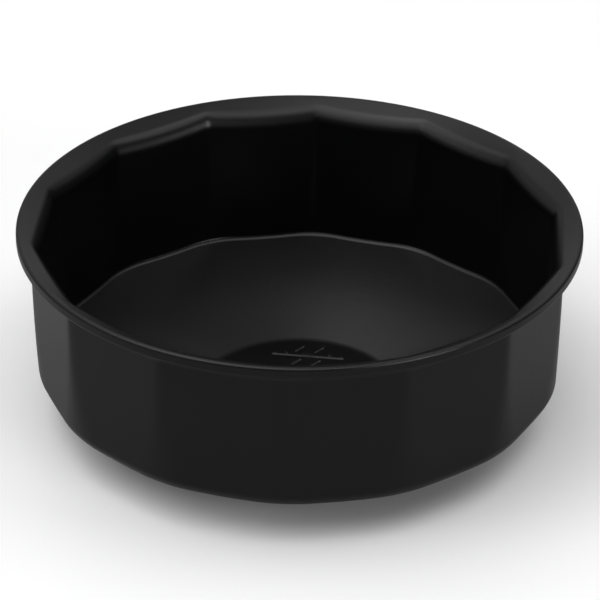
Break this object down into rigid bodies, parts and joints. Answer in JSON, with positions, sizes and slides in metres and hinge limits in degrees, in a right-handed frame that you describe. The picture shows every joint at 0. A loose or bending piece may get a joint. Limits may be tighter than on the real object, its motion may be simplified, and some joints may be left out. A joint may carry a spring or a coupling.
{
  "type": "oil filter wrench",
  "caption": "Cap-type oil filter wrench: pressed steel cup with a flat-sided socket, a flared round lip, a shallow conical floor and a square drive hole.",
  "frame": {"origin": "on the cup's axis, on the underside of the flat centre disc, its lowest face", "axes": "+Z along the axis, out of the mouth; +X through a corner between two flats"},
  "size_m": [0.0825, 0.0824, 0.0309],
  "materials": {
    "black_coated_steel": "satin black baked coating on pressed sheet steel"
  },
  "bodies": {
    "root": {"wrench_cup": "black_coated_steel"}
  },
  "joints": []
}
